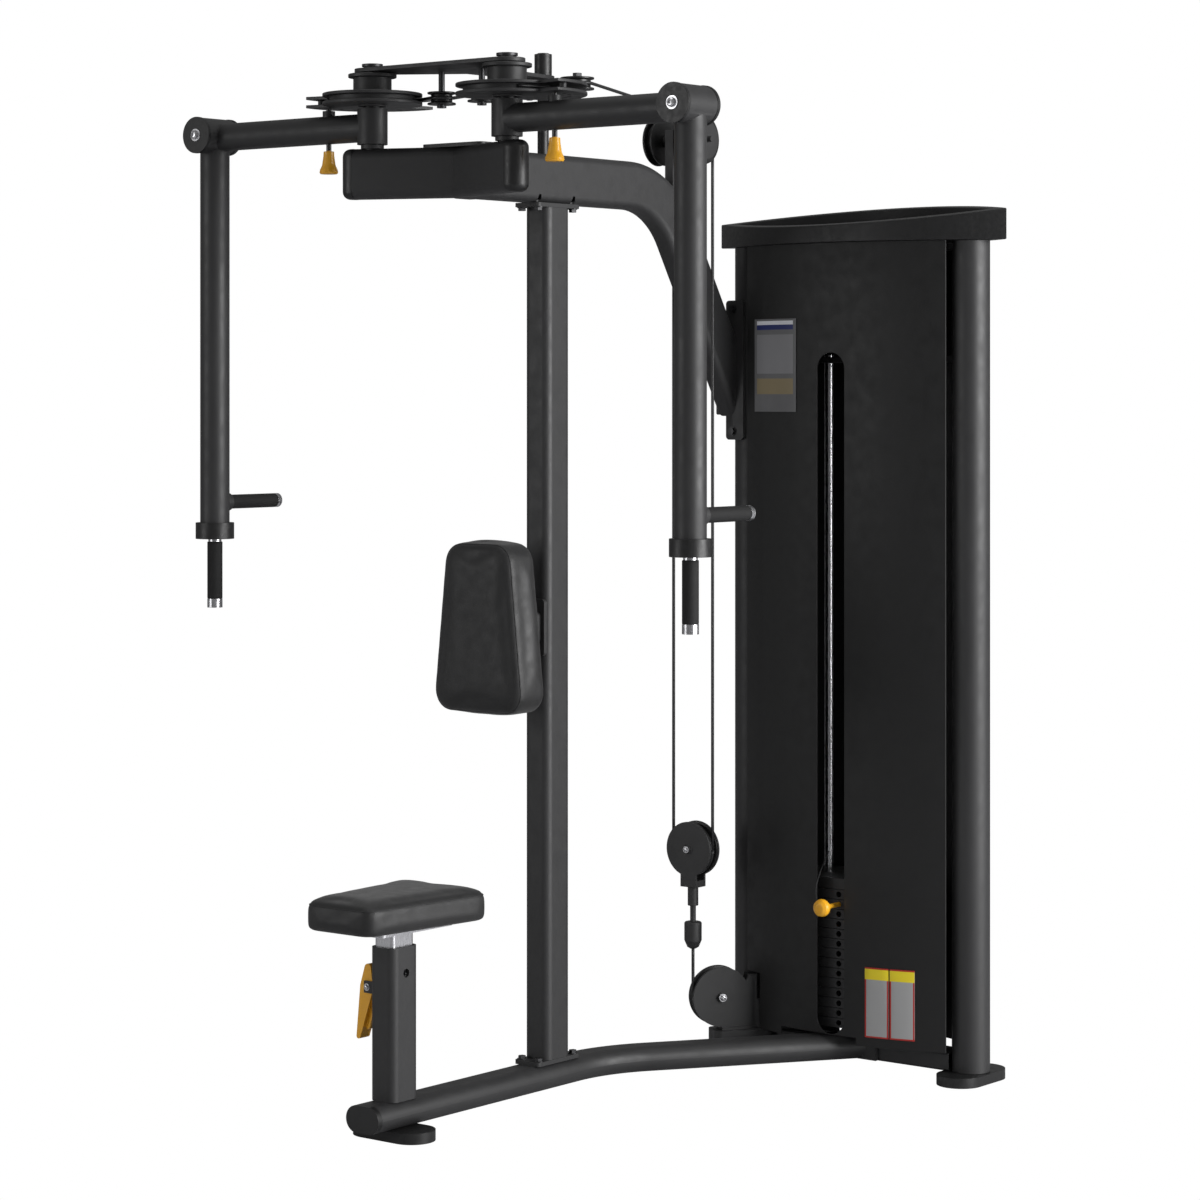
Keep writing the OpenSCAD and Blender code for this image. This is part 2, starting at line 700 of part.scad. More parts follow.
module trolley_frame() color(frame_c) {
    for (s = [-1, 1]) translate([0, drop_y + s * 14.5, trolley_z]) rotate([90, 0, 0])
        linear_extrude(5, center = true) {
            circle(56);
            translate([-20, -66]) square([40, 40]);
        }
    translate([-20, drop_y - 17, trolley_z - 78]) cube([40, 34, 14]);
    translate([0, drop_y, 314]) cylinder(r = 11, h = trolley_z - 77 - 314);
    translate([0, drop_y, ferrule_top - 1]) cylinder(r = 6, h = 40);
    translate([0, drop_y, ferrule_top]) rotate_extrude()
        polygon([[0, 0], [16, 0], [18, -3], [18, -38], [12, -52], [5, -56], [0, -56]]);
    translate([0, drop_y - 17, trolley_z]) rotate([-90, 0, 0]) cylinder(r = 6, h = 34);
    translate([0, drop_y - 17, trolley_z]) rotate([90, 0, 0]) bolt(5);
    translate([0, drop_y + 17, trolley_z]) rotate([-90, 0, 0]) bolt(5);
}

module at_low_pulley() {
    translate([low_xy[0], low_xy[1], low_z]) rotate([0, 0, -low_dir]) rotate([0, 90, 0]) children();
}

module low_pulley() color(dark_c) at_low_pulley() pulley(low_r, 60.5, 22, 6 + run);

module low_pulley_bracket() color(frame_c) {
    spread = norm(base_xy - low_xy);
    for (s = [-1, 1]) at_low_pulley() translate([0, 0, s * 14.5]) linear_extrude(5, center = true) {
        circle(61);
        translate([0, 0]) square([63, 76]);
        translate([-44, 40]) difference() {
            square([50, 36]);
            circle(18);
        }
        translate([8, 70]) square([55, spread - 50]);
    }
    difference() {
        translate([low_xy[0], low_xy[1], rail_z + 6]) rotate([0, 0, -low_dir]) translate([0, 50, 0])
            linear_extrude(rail_h - 5) rrect(60, 134, 14);
        translate([0, tower_y - tower_post_d / 2 - gap, 0]) cube([200, 200, 200]);
    }
    at_low_pulley() cylinder(r = 6, h = 32, center = true);
    translate([base_xy[0], base_xy[1], base_z]) rotate([0, 0, -low_dir]) rotate([0, 90, 0])
        cylinder(r = 6, h = 32, center = true);
    for (s = [0, 1]) at_low_pulley() mirror([0, 0, s]) translate([0, 0, 17]) bolt(5);
    translate([low_xy[0], low_xy[1], 0]) rotate([0, 0, -low_dir]) translate([-20, 0, rail_z + rail_h + gap / 5])
        cube([40, spread + 25, 6.5]);
}

module tower_pulley() color(dark_c) translate([tower_pulley_x, tower_y, tower_pulley_z])
    rotate([90, 0, 0]) pulley(tower_pulley_r, tower_pulley_r + 4.5, 22, 6 + run);

module base_pulley() color(dark_c) translate([base_xy[0], base_xy[1], base_z])
    rotate([0, 0, -low_dir]) rotate([0, 90, 0]) pulley(base_r, base_r + 3.5, 20, 6 + run);

module top_pulley_bracket() color(frame_c) {
    translate([-10, top_pulley_y - 40, 1695]) cube([20, 60, top_pulley_z + 20 - 1695]);
    translate([-80, top_pulley_y, top_pulley_z]) rotate([0, 90, 0]) cylinder(r = 6, h = 160);
    for (s = [-1, 1]) translate([s * (drop_x + 14), top_pulley_y, top_pulley_z]) rotate([0, 90, 0])
        cylinder(r = 40, h = 4, center = true);
    for (s = [-1, 1]) translate([s * (drop_x - 18), top_pulley_y, top_pulley_z]) rotate([0, 90, 0])
        cylinder(r = 12, h = 12, center = true);
}

// ---- Fasteners, plates and cable ----

module frame_bolts() color(steel_c) {
    for (s = [-1, 1]) translate([s * pivot_x, pivot_y, tie_z + tie_t + 4]) cylinder(r = 20, h = 5);
    for (s = [-1, 1]) translate([s * inner_pulley[0], inner_pulley[1], 0]) {
        translate([0, 0, cable_z - 14]) cylinder(r = 6 - 0.02, h = tie_z + tie_t - cable_z + 14);
        translate([0, 0, tie_z + tie_t]) bolt(6);
        translate([0, 0, cable_z - 18]) cylinder(r = 9, h = 4);
    }
    for (s = [-1, 1]) translate([s * rear_pulley[0], rear_pulley[1], 0]) {
        translate([0, 0, rear_cable_z - 26]) cylinder(r = 6 - 0.02, h = 42);
        translate([0, 0, rear_cable_z + 12.5]) bolt(6);
    }
    for (sx = [-1, 1], sy = [-1, 1]) translate([sx * 21, column_y + sy * 52, 0]) {
        translate([0, 0, beam_top + 8]) bolt(5, 8);
        translate([0, 0, column_top]) rotate([180, 0, 0]) bolt(5, 8);
    }
    for (s = [-1, 1])
        translate([tower_bolt[0], tower_plate_y, tower_plate[1] + s * tower_bolt[1]])
            rotate([90, 0, 0]) bolt(5, 7);
}

module placards() color([0.62, 0.62, 0.63]) {
    intersection() {
        translate([tower_x, shroud_front + shroud_r, 0]) difference() {
            cylinder(r = shroud_r + 1.6, h = 1600, $fn = 180);
            translate([0, 0, -1]) cylinder(r = shroud_r + 0.1, h = 1610, $fn = 180);
        }
        union() {
            translate([tower_x - 214, shroud_front - 10, 1330]) cube([126, 60, 190]);
            for (x = [81, 134]) translate([tower_x + x, shroud_front - 10, 80]) cube([50, 60, 140]);
        }
    }
}

// Straight run of cable, a hair short at both ends of the arcs that it joins
module cable_run(a, b) {
    u = (b - a) / norm(b - a);
    rod(a + u * cable_gap, b - u * cable_gap, cable_r);
}

// Arc of cable about a point, in a level plane
module cable_arc(centre, r, from, to) {
    translate(centre) rotate([0, 0, from]) rotate_extrude(angle = to - from)
        translate([r, 0]) circle(cable_r);
}

// Point on a circle about a centre
function around(c, r, a, z) = [c[0] + r * cos(a), c[1] + r * sin(a), z];

// Cable from the cam drum round the inner and rear guide pulleys and over the top pulley
module arm_cable() {
    cam = [pivot_x, pivot_y];
    to_inner = inner_pulley - cam;
    off_cam = atan2(to_inner[1], to_inner[0]) - acos((cam_cable_r + inner_r) / norm(to_inner));
    to_rear = rear_pulley - inner_pulley;
    off_inner = atan2(to_rear[1], to_rear[0]) + acos((inner_r + rear_r) / norm(to_rear));
    top = [drop_x, top_pulley_y];
    to_top = top - rear_pulley;
    off_rear = atan2(to_top[1], to_top[0]) - acos(rear_r / norm(to_top));
    cable_run(around(cam, cam_cable_r, off_cam, cable_z),
        around(inner_pulley, inner_r, off_cam + 180, cable_z));
    cable_arc([inner_pulley[0], inner_pulley[1], cable_z], inner_r, off_inner, off_cam + 180);
    cable_run(around(inner_pulley, inner_r, off_inner, cable_z),
        around(rear_pulley, rear_r, off_inner - 180, rear_cable_z));
    cable_arc([rear_pulley[0], rear_pulley[1], rear_cable_z], rear_r, off_inner - 180, off_rear);
    cable_run(around(rear_pulley, rear_r, off_rear, rear_cable_z),
        [top[0], top[1], top_pulley_z + top_r]);
    translate([drop_x, top_pulley_y, top_pulley_z]) rotate([90, 0, 90])
        rotate_extrude(angle = 90) translate([top_r, 0]) circle(cable_r);
}

module fixed_cables() color(rubber_c) {
    arm_cable();
    mirrored() arm_cable();
    cable_run([low_xy[0], low_xy[1], low_z - low_r], [base_xy[0], base_xy[1], base_z - base_r]);
    cable_run([run_x, tower_y, base_z], [run_x, tower_y, tower_pulley_z]);
    translate([tower_pulley_x, tower_y, tower_pulley_z]) rotate([90, 0, 0])
        rotate_extrude(angle = 180) translate([tower_pulley_r, 0]) circle(cable_r);
    at_low_pulley() rotate([0, 0, -90]) rotate_extrude(angle = 90) translate([low_r, 0]) circle(cable_r);
    translate([base_xy[0], base_xy[1], base_z]) rotate([0, 0, -low_dir]) rotate([0, 90, 0])
        rotate_extrude(angle = 90) translate([base_r, 0]) circle(cable_r);
}

module drop_cables() color(rubber_c) {
    for (s = [-1, 1]) cable_run([s * drop_x, drop_y, trolley_z], [s * drop_x, drop_y, top_pulley_z]);
    translate([0, drop_y, trolley_z]) rotate([90, 0, 0]) rotate([0, 0, 180])
        rotate_extrude(angle = 180) translate([drop_x, 0]) circle(cable_r);
}

module low_cable() color(rubber_c)
    cable_run([0, drop_y, low_z], [0, drop_y, ferrule_top - 56]);

module lift_cable() color(rubber_c)
    cable_run([tower_x, tower_y, head_z + head_t + 37], [tower_x, tower_y, tower_pulley_z]);

base_beam();
feet();
seat_post_tube();
main_column();
overhead_spine();
pivot_yoke();
yoke_end_caps();
pivot_axles();
tie_plate();
centre_post();
tower_posts();
tower_base_rail();
tower_top_rails();
frame_bolts();
front_shroud();
rear_shroud();
tower_cap();
guide_rods();
stack_cushions();
lower_plates();
top_pulley_bracket();
low_pulley_bracket();
placards();
back_pad();
back_pad_bracket();
seat_slider();
seat_pad();
seat_lever();
right_cam();
left_cam();
right_arm_frame();
left_arm_frame();
right_arm_caps();
left_arm_caps();
right_grips();
left_grips();
right_grip_ends();
left_grip_ends();
right_pop_pin();
left_pop_pin();
right_inner_pulley();
left_inner_pulley();
right_rear_pulley();
left_rear_pulley();
right_top_pulley();
left_top_pulley();
trolley_wheel();
trolley_frame();
low_pulley();
tower_pulley();
base_pulley();
head_plate();
selector_rod();
lifted_plates();
selector_pin();
fixed_cables();
drop_cables();
low_cable();
lift_cable();
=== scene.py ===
"""Looks for the pec fly and rear delt machine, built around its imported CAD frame."""

import json
import math

import bmesh
import bpy
import numpy as np
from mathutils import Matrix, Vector
from mathutils.bvhtree import BVHTree

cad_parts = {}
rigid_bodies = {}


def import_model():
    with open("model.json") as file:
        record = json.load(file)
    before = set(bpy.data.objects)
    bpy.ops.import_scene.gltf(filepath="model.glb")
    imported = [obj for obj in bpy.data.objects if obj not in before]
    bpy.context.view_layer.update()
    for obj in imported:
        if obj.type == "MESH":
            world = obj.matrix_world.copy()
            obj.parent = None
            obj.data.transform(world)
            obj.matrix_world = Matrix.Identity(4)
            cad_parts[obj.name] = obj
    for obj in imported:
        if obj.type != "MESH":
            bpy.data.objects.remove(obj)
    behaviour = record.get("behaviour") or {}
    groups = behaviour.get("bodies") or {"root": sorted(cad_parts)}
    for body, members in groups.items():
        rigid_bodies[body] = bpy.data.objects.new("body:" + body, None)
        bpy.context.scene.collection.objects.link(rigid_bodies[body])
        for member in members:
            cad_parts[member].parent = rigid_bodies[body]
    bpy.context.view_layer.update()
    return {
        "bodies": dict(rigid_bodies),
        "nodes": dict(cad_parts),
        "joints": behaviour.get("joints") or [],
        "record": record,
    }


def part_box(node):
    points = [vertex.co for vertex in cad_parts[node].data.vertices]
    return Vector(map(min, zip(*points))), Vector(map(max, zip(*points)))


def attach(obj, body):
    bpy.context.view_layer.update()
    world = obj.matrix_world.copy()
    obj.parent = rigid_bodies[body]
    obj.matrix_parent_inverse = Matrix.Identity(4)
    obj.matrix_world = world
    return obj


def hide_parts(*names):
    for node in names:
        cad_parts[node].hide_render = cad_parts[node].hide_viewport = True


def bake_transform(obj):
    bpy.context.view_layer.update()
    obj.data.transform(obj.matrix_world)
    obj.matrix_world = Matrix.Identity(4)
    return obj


MM = 0.001

# Cushions
VOXEL = 5 * MM
PUFF_FRAMES = 20
PRESSURE = 4.0
PUFF_RISE = 7 * MM
PUFF_INSET = 4 * MM
BOARD_BAND = 10 * MM
SEAT_WIDTHS = (0.085, 0.115)
BACK_WIDTHS = (0.117, 0.082)
WIDEST_HALF = 0.11
CORNER_STEPS = 8
CUSHION_EDGE = 18 * MM
SEAM_DEPTH = 12 * MM
SEAM_RADIUS = 1.1 * MM

# Cables, as part.scad has them
CABLE_RADIUS = 3.25 * MM
CABLE_SIDES = 12
DROP_X = 0.050
DROP_Y = 0.918
LOW_YAW = math.radians(35)
LOW_R = 0.057
LOW_Z = 0.125
BASE_R = 0.036
TOWER_X = 0.3025
TOWER_Y = 1.080
TOWER_PULLEY_Z = 1.550
TOP_R = 0.042
TOP_Z = 1.885
TROLLEY_Z = 0.431
LOW_CABLE_TOP = 0.228
CAM = (0.167, 0.124)
CAM_R = 0.085
INNER = (0.050, 0.190)
INNER_R = 0.024
REAR = (0.060, 0.463)
REAR_R = 0.030
DRUM_Z = 1.926
REAR_Z = 1.968

# Small hardware
ARM_X = 0.588
ELBOW_Z = 1.876
GRIP_Z = 1.152
LEVER_BOLT = (-0.051, -0.0185, 0.272)
BOLT_SIDES = 24
BOLT_PROFILE = [(0, 0.62), (0.30, 0.62), (0.34, 0.95), (0.62, 0.90), (0.92, 0.62), (1.0, 0.22),
                (1.0, 0.2), (1.35, 0.2), (1.4, 0.14), (1.4, 0.0), (0, 0)]

# Printed placards: bands of the main plate as bottom, top and tone, and the frames of the small ones
BANDS = [(1.508, 1.516, (0.75, 0.76, 0.80, 1)), (1.498, 1.508, (0.02, 0.03, 0.14, 1)),
         (1.408, 1.488, (0.24, 0.24, 0.25, 1)), (1.366, 1.398, (0.26, 0.21, 0.12, 1))]
BAND_SPAN = (0.008, 0.118)
LABEL_HEIGHTS = (0.083, 0.217)
LABEL_LEFTS = (0.103, 0.050)
LABEL_WIDTH = 0.047
LABEL_LINE = 0.003
YELLOW_FOOT = 0.196
RED = (0.42, 0.02, 0.015, 1)
YELLOW = (0.82, 0.66, 0.02, 1)

# Bevel of each finish's sharp edges, in mm
EASING = {"frame": 1.2, "black_plastic": 2.0, "pulley_nylon": 0.8, "steel": 0.5, "dark_steel": 0.5,
          "rubber": 1.0, "stack_iron": 1.2, "gold_knob": 0.8, "shroud": 0.6}

# Camera, at the photograph's angle
CAMERA_PLACE = (4.0687, -4.5236, 1.3671)
CAMERA_TURN = 38.4
CAMERA_LENS = 99.0
CAMERA_SHIFT_Y = -0.172


# ---- Materials ----

class Surface:
    """A Principled material with a few helpers for its node tree."""

    def __init__(self, name, roughness, metallic=0.0, specular=0.5):
        self.material = bpy.data.materials.new(name)
        self.material.use_nodes = True
        self.tree = self.material.node_tree
        self.shader = self.tree.nodes["Principled BSDF"]
        self.shader.inputs["Roughness"].default_value = roughness
        self.shader.inputs["Metallic"].default_value = metallic
        self.shader.inputs["Specular IOR Level"].default_value = specular
        self.place = self.node("ShaderNodeTexCoord").outputs["Object"]

    def node(self, kind, **inputs):
        made = self.tree.nodes.new(kind)
        for key, value in inputs.items():
            self.feed(made.inputs[key.replace("_", " ")], value)
        return made

    def feed(self, socket, value):
        if isinstance(value, bpy.types.NodeSocket):
            self.tree.links.new(value, socket)
        else:
            socket.default_value = value

    def noise(self, scale, detail=3.0, stretch=(1, 1, 1)):
        mapping = self.node("ShaderNodeMapping", Vector=self.place, Scale=stretch)
        made = self.node("ShaderNodeTexNoise", Vector=mapping.outputs[0], Scale=scale, Detail=detail)
        return made.outputs[0]

    def math(self, operation, a, b=0.0):
        made = self.tree.nodes.new("ShaderNodeMath")
        made.operation = operation
        self.feed(made.inputs[0], a)
        self.feed(made.inputs[1], b)
        return made.outputs[0]

    def mix(self, factor, a, b):
        made = self.tree.nodes.new("ShaderNodeMix")
        made.data_type = "RGBA"
        self.feed(made.inputs["Factor"], factor)
        self.feed(made.inputs[6], a)
        self.feed(made.inputs[7], b)
        return made.outputs[2]

    def ramp(self, value, low, high, out_low, out_high):
        span = {"From_Min": low, "From_Max": high, "To_Min": out_low, "To_Max": out_high}
        return self.node("ShaderNodeMapRange", Value=value, **span).outputs[0]

    def bump(self, height, distance, strength=1.0, under=None):
        made = self.node("ShaderNodeBump", Height=height, Distance=distance, Strength=strength)
        if under is not None:
            self.feed(made.inputs["Normal"], under)
        return made.outputs[0]

    def set(self, name, value):
        self.feed(self.shader.inputs[name], value)

    def inside(self, axis, low, high):
        """1 where the surface lies between low and high along x, y or z."""
        height = self.node("ShaderNodeSeparateXYZ", Vector=self.place).outputs[axis]
        above = self.math("GREATER_THAN", height, low)
        return self.math("MULTIPLY", above, self.math("LESS_THAN", height, high))


def grey(level):
    """A neutral tone with a trace of blue."""
    return (level, level, level * 1.03, 1.0)


def coat(name, level, roughness, grain=0.9, depth=0.12):
    """Powder coat: a fine orange-peel skin with slight patches of tone and shine."""
    s = Surface(name, roughness)
    patches = s.noise(6.0, 4.0)
    s.set("Base Color", s.mix(patches, grey(level * 0.86), grey(level * 1.14)))
    s.set("Roughness", s.ramp(s.noise(38.0, 5.0), 0.3, 0.7, roughness - 0.06, roughness + 0.07))
    peel = s.bump(s.noise(650.0 * grain, 2.0), depth * MM, 0.55)
    s.set("Normal", s.bump(s.noise(2200.0 * grain, 2.0), 0.03 * MM, 0.4, peel))
    return s.material


def moulded(name, level, roughness):
    """Moulded black plastic with a light spark-eroded texture."""
    s = Surface(name, roughness)
    s.set("Base Color", s.mix(s.noise(14.0), grey(level * 0.85), grey(level * 1.2)))
    s.set("Roughness", s.ramp(s.noise(120.0, 4.0), 0.3, 0.7, roughness - 0.07, roughness + 0.08))
    s.set("Normal", s.bump(s.noise(1500.0, 2.0), 0.05 * MM, 0.5))
    return s.material


def steel(name, level, roughness, along=(1, 1, 0.04)):
    """Drawn or turned steel, with fine lines along one direction."""
    s = Surface(name, roughness, metallic=1.0)
    lines = s.noise(900.0, 3.0, along)
    s.set("Base Color", s.mix(lines, grey(level * 0.88), grey(level * 1.05)))
    s.set("Roughness", s.ramp(lines, 0.3, 0.7, roughness - 0.05, roughness + 0.1))
    s.set("Normal", s.bump(lines, 0.02 * MM, 0.35))
    return s.material


def rubber(name, level):
    """Textured rubber sleeve with a small diamond pattern."""
    s = Surface(name, 0.72, specular=0.35)
    waves = []
    for turn in (0.7, -0.7):
        mapping = s.node("ShaderNodeMapping", Vector=s.place, Rotation=(turn, turn, turn))
        waves.append(s.node("ShaderNodeTexWave", Vector=mapping.outputs[0], Scale=170.0).outputs[1])
    diamonds = s.math("MULTIPLY", waves[0], waves[1])
    s.set("Base Color", s.mix(s.noise(60.0), grey(level * 0.8), grey(level * 1.25)))
    s.set("Normal", s.bump(diamonds, 0.35 * MM, 0.7))
    return s.material


def vinyl(name, level):
    """Upholstery vinyl: leather-like cells, fine creases and a soft sheen."""
    s = Surface(name, 0.5, specular=0.42)
    cells = s.node("ShaderNodeTexVoronoi", Vector=s.place, Scale=420.0)
    cells.feature = "DISTANCE_TO_EDGE"
    grain = s.ramp(cells.outputs[0], 0.0, 0.18, 0.0, 1.0)
    s.set("Base Color", s.mix(s.noise(9.0, 5.0), grey(level * 0.85), grey(level * 1.2)))
    s.set("Roughness", s.ramp(s.noise(45.0, 6.0), 0.3, 0.7, 0.42, 0.58))
    creases = s.bump(s.noise(32.0, 6.0), 0.5 * MM, 0.16)
    s.set("Normal", s.bump(grain, 0.12 * MM, 0.5, creases))
    s.set("Sheen Weight", 0.12)
    s.set("Sheen Roughness", 0.5)
    return s.material


def gold(name, shank_above=None):
    """Amber plastic knob with a satin sparkle, and a dark shank above a height if one is given."""
    s = Surface(name, 0.32)
    colour = s.mix(s.noise(22.0), (0.90, 0.42, 0.015, 1), (0.98, 0.50, 0.03, 1))
    if shank_above is not None:
        colour = s.mix(s.inside("Z", shank_above, 9.0), colour, grey(0.012))
    s.set("Base Color", colour)
    s.set("Roughness", s.ramp(s.noise(300.0), 0.3, 0.7, 0.26, 0.42))
    s.set("Normal", s.bump(s.noise(900.0), 0.03 * MM, 0.3))
    s.set("Coat Weight", 0.35)
    s.set("Coat Roughness", 0.15)
    return s.material


def rope(name):
    """Black nylon jacket with the steel rope's lay showing through as a fine twist."""
    s = Surface(name, 0.36)
    wave = s.node("ShaderNodeTexWave", Vector=s.place, Scale=420.0, Distortion=0.4)
    wave.bands_direction = "DIAGONAL"
    s.set("Base Color", s.mix(wave.outputs[1], grey(0.014), grey(0.026)))
    s.set("Normal", s.bump(wave.outputs[1], 0.10 * MM, 0.35))
    return s.material


def placard(name, low, high):
    """Blank printed plates: a main one with plain bands, and two small ones framed in red."""
    s = Surface(name, 0.38)
    colour = s.mix(s.noise(40.0), (0.13, 0.13, 0.135, 1), (0.16, 0.16, 0.165, 1))
    small = s.inside("Z", 0.0, 1.0)
    colour = s.mix(small, colour, (0.36, 0.36, 0.36, 1))
    for bottom, top, tone in BANDS:
        across = s.inside("X", low.x + BAND_SPAN[0], low.x + BAND_SPAN[1])
        colour = s.mix(s.math("MULTIPLY", s.inside("Z", bottom, top), across), colour, tone)
    ends = s.math("SUBTRACT", 1.0, s.inside("Z", *LABEL_HEIGHTS))
    colour = s.mix(s.math("MULTIPLY", small, ends), colour, RED)
    for left in LABEL_LEFTS:
        for edge in (high.x - left, high.x - left + LABEL_WIDTH):
            side = s.math("MULTIPLY", small, s.inside("X", edge, edge + LABEL_LINE))
            colour = s.mix(side, colour, RED)
    header = s.math("MULTIPLY", s.inside("Z", YELLOW_FOOT, LABEL_HEIGHTS[1]), s.inside("X", low.x, high.x))
    colour = s.mix(header, colour, YELLOW)
    s.set("Base Color", colour)
    s.set("Normal", s.bump(s.noise(500.0), 0.02 * MM, 0.3))
    return s.material


# ---- Meshes ----

def add_object(name, data):
    obj = bpy.data.objects.new(name, data)
    bpy.context.scene.collection.objects.link(obj)
    return obj


def add_built(name, bm, material):
    """An object from a bmesh, which it frees."""
    mesh = bpy.data.meshes.new(name)
    bm.to_mesh(mesh)
    bm.free()
    mesh.materials.append(material)
    return add_object(name, mesh)


def add_mesh(name, verts, faces, material, smooth=True):
    mesh = bpy.data.meshes.new(name)
    mesh.from_pydata([tuple(v) for v in verts], [], faces)
    mesh.validate()
    mesh.materials.append(material)
    mesh.polygons.foreach_set("use_smooth", [smooth] * len(mesh.polygons))
    return add_object(name, mesh)


def tube(name, path, radius, material, closed=False, sides=CABLE_SIDES):
    """Round tube along a path of points, with flat ends unless the path is closed."""
    points = [Vector(p) for p in path]
    count = len(points)
    verts, up = [], Vector((0, 0, 1))
    for i, p in enumerate(points):
        before = points[i - 1] if (i or closed) else p
        after = points[(i + 1) % count] if (i < count - 1 or closed) else p
        along = (after - before).normalized()
        if abs(along.dot(up)) > 0.95:
            up = Vector((1, 0, 0)) if abs(along.x) < 0.9 else Vector((0, 1, 0))
        side = along.cross(up).normalized()
        up = side.cross(along).normalized()
        for k in range(sides):
            a = 2 * math.pi * k / sides
            verts.append(p + radius * (side * math.cos(a) + up * math.sin(a)))
    faces = []
    for i in range(count if closed else count - 1):
        j = (i + 1) % count
        for k in range(sides):
            m = (k + 1) % sides
            faces.append((i * sides + k, i * sides + m, j * sides + m, j * sides + k))
    if not closed:
        faces.append(tuple(reversed(range(sides))))
        faces.append(tuple(range((count - 1) * sides, count * sides)))
    return add_mesh(name, verts, faces, material)


def arc(centre, radius, start, end, steps=16, plane="xy"):
    """Points on an arc about a centre, with angles in degrees."""
    out = []
    for i in range(steps + 1):
        a = math.radians(start + (end - start) * i / steps)
        u, v = radius * math.cos(a), radius * math.sin(a)
        offset = {"xy": (u, v, 0), "xz": (u, 0, v), "yz": (0, u, v)}[plane]
        out.append(Vector(centre) + Vector(offset))
    return out


def line(a, b, steps):
    return [Vector(a).lerp(Vector(b), i / steps) for i in range(steps + 1)]


def finish_node(obj, material, bevel):
    """A CAD node's material, with its sharp edges eased by a small bevel."""
    mesh = obj.data
    mesh.materials.clear()
    mesh.materials.append(material)
    attribute = mesh.attributes.get("custom_normal")
    if attribute is not None:
        mesh.attributes.remove(attribute)
    mesh.polygons.foreach_set("use_smooth", [True] * len(mesh.polygons))
    weld = obj.modifiers.new("weld", "WELD")
    weld.merge_threshold = 0.01 * MM
    if bevel:
        edge = obj.modifiers.new("bevel", "BEVEL")
        edge.width = bevel
        edge.segments = 2
        edge.limit_method = "ANGLE"
        edge.angle_limit = math.radians(38)
    weighted = obj.modifiers.new("normals", "WEIGHTED_NORMAL")
    weighted.keep_sharp = True


# ---- Cushions ----

def rounded_outline(corners, radius, step=4 * MM):
    """Closed outline through 2D corners, each rounded by a radius, with points about a step apart."""
    out = []
    count = len(corners)
    for i in range(count):
        here = Vector(corners[i])
        to_before = (Vector(corners[i - 1]) - here).normalized()
        to_after = (Vector(corners[(i + 1) % count]) - here).normalized()
        half = to_before.angle(to_after) / 2
        centre = here + (to_before + to_after).normalized() * radius / math.sin(half)
        start = here + to_before * radius / math.tan(half)
        end = here + to_after * radius / math.tan(half)
        a0, a1 = (math.atan2(*(p - centre).yx) for p in (start, end))
        turn = (a1 - a0 + math.pi) % (2 * math.pi) - math.pi
        for k in range(CORNER_STEPS + 1):
            a = a0 + turn * k / CORNER_STEPS
            out.append(centre + radius * Vector((math.cos(a), math.sin(a))))
    dense = []
    for i, p in enumerate(out):
        q = out[(i + 1) % len(out)]
        pieces = max(1, int((q - p).length / step))
        dense += [p.lerp(q, k / pieces) for k in range(pieces)]
    return dense


def level_edges(bm, z):
    return [e for e in bm.edges if all(abs(v.co.z - z) < 0.001 * MM for v in e.verts)]


def slab(name, outline, thickness, place, material):
    """Closed slab over an outline, with eased edges; place maps (u, v, w) to a point."""
    bm = bmesh.new()
    base = [bm.verts.new((p.x, p.y, 0)) for p in outline]
    bottom = bm.faces.new(base)
    top = bmesh.ops.extrude_face_region(bm, geom=[bottom])
    lifted = [v for v in top["geom"] if isinstance(v, bmesh.types.BMVert)]
    bmesh.ops.translate(bm, vec=(0, 0, thickness), verts=lifted)
    for z, ease, segments in ((thickness, CUSHION_EDGE, 5), (0, CUSHION_EDGE / 2, 3)):
        bmesh.ops.bevel(bm, geom=level_edges(bm, z), offset=ease, segments=segments,
                        affect="EDGES", profile=0.5)
    bmesh.ops.triangulate(bm, faces=bm.faces[:])
    bmesh.ops.recalc_face_normals(bm, faces=bm.faces[:])
    obj = add_built(name, bm, material)
    for v in obj.data.vertices:
        v.co = place(*v.co)
    return obj


def keep_evaluated(obj):
    """Replaces an object's mesh by what its modifiers make of it."""
    graph = bpy.context.evaluated_depsgraph_get()
    mesh = bpy.data.meshes.new_from_object(obj.evaluated_get(graph))
    obj.modifiers.clear()
    obj.data = mesh


def coords(mesh):
    co = np.zeros(len(mesh.vertices) * 3)
    mesh.vertices.foreach_get("co", co)
    return co.reshape(-1, 3)


